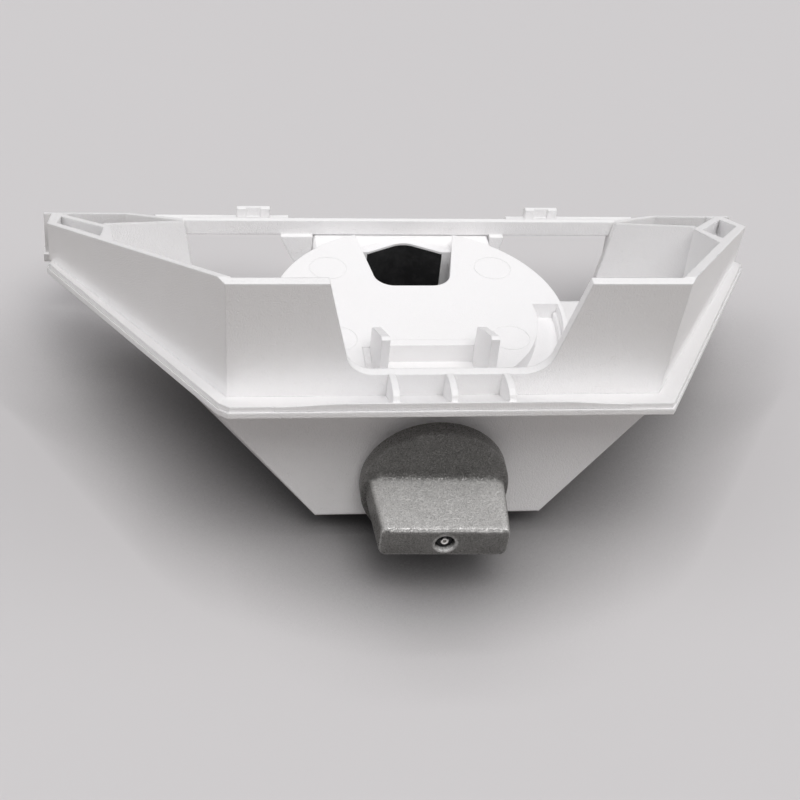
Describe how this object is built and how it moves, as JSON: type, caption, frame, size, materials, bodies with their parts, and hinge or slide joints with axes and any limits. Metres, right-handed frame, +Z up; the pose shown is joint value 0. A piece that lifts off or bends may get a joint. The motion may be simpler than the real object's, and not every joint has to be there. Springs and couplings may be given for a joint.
{
  "type": "pole mount adapter",
  "caption": "Tilted moulded device frame on a deep bowl with a screw clamp for a round vertical pole.",
  "frame": {"origin": "centre of the round top plate, on its upper face", "axes": "+Z up along the pole, -Y towards the knob, +X to the right seen from the knob side"},
  "size_m": [0.2556, 0.1553, 0.1073],
  "materials": {
    "white_plastic": "satin",
    "knob_plastic": "matte",
    "black_rubber": "matte",
    "dark_plastic": "matte",
    "steel": "satin",
    "brass": "satin"
  },
  "bodies": {
    "root": {"frame": "white_plastic", "bowl": "white_plastic", "top_plate": "white_plastic", "jaw_block": "white_plastic", "jaw_liner": "black_rubber", "thread_insert": "brass", "thrust_washer": "dark_plastic", "plate_screws": "steel", "jaw_screws": "steel", "pocket_screws": "steel"},
    "shoe_body": {"shoe": "dark_plastic", "shoe_liner": "black_rubber"},
    "screw_body": {"spindle": "steel", "tip_clip": "steel", "knob": "knob_plastic", "knob_hub": "brass", "knob_screw": "steel", "screw_washer": "steel"}
  },
  "joints": [
    {"name": "shoe_slide", "type": "slide", "parent": "root", "child": "shoe_body", "axis": [0, -1, 0], "range_m": [0, 0.012]},
    {"name": "knob_turn", "type": "hinge", "parent": "shoe_body", "child": "screw_body", "pos_m": [0, -0.06, -0.026], "axis": [0, -1, 0], "range_deg": [0, 2160]}
  ],
  "couplings": [
    {"joint": "shoe_slide", "follows": "knob_turn", "m_per_rad": 0.00031831}
  ]
}
